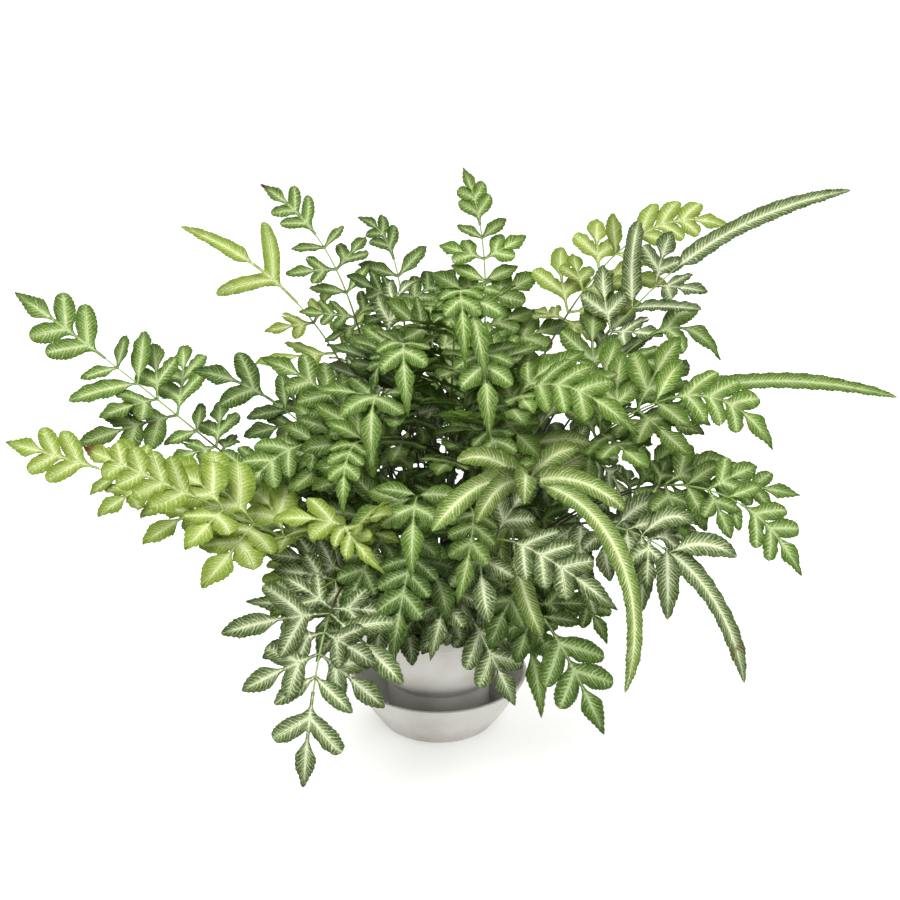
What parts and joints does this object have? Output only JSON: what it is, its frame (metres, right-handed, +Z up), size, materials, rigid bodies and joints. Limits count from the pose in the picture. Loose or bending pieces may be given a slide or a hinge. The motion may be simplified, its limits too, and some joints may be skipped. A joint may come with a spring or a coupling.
{
  "type": "silver brake fern",
  "caption": "Potted silver brake fern: silver-striped lobed fronds on dark wiry stalks, in a round lipped pot with a saucer.",
  "frame": {"origin": "middle of the saucer's underside, on the surface it stands on", "axes": "+Z up; +X to the right and -Y to the front, the side the fuller fronds hang over"},
  "size_m": [0.4732, 0.2649, 0.3072],
  "materials": {
    "saucer_plastic": "smooth off-white moulded plastic",
    "pot_plastic": "smooth off-white moulded plastic",
    "potting_soil": "damp dark peat soil",
    "stalk": "dark brown wiry stalk, slightly glossy",
    "leaf_young": "thin yellow-green leaf with a pale band",
    "leaf_fresh": "thin fresh green leaf with a pale band",
    "leaf_mid": "thin green leaf with a silver band",
    "leaf_dark": "thin dark green leaf with a silver band",
    "leaf_silver": "thin dark green leaf with a broad silver band"
  },
  "bodies": {
    "root": {"saucer": "saucer_plastic", "pot": "pot_plastic", "soil": "potting_soil", "crown_and_stalks": "stalk", "frond_01": "leaf_mid", "frond_02": "leaf_young", "frond_03": "leaf_young", "frond_04": "leaf_young", "frond_05": "leaf_mid", "frond_06": "leaf_dark", "frond_07": "leaf_silver", "frond_08": "leaf_fresh", "frond_09": "leaf_young", "frond_10": "leaf_silver", "frond_11": "leaf_mid", "frond_12": "leaf_mid", "frond_13": "leaf_fresh", "frond_14": "leaf_mid", "frond_15": "leaf_mid", "frond_16": "leaf_silver", "frond_17": "leaf_silver", "frond_18": "leaf_dark", "frond_19": "leaf_silver", "frond_20": "leaf_silver", "frond_21": "leaf_silver", "frond_22": "leaf_young", "frond_23": "leaf_silver", "frond_24": "leaf_fresh", "frond_25": "leaf_mid", "frond_26": "leaf_dark", "frond_27": "leaf_mid", "frond_28": "leaf_dark", "frond_29": "leaf_mid", "frond_30": "leaf_mid", "frond_31": "leaf_dark", "frond_32": "leaf_fresh", "frond_33": "leaf_silver", "frond_34": "leaf_mid", "frond_35": "leaf_dark", "frond_36": "leaf_fresh", "frond_37": "leaf_silver", "frond_38": "leaf_mid", "frond_39": "leaf_dark", "frond_40": "leaf_fresh"}
  },
  "joints": []
}
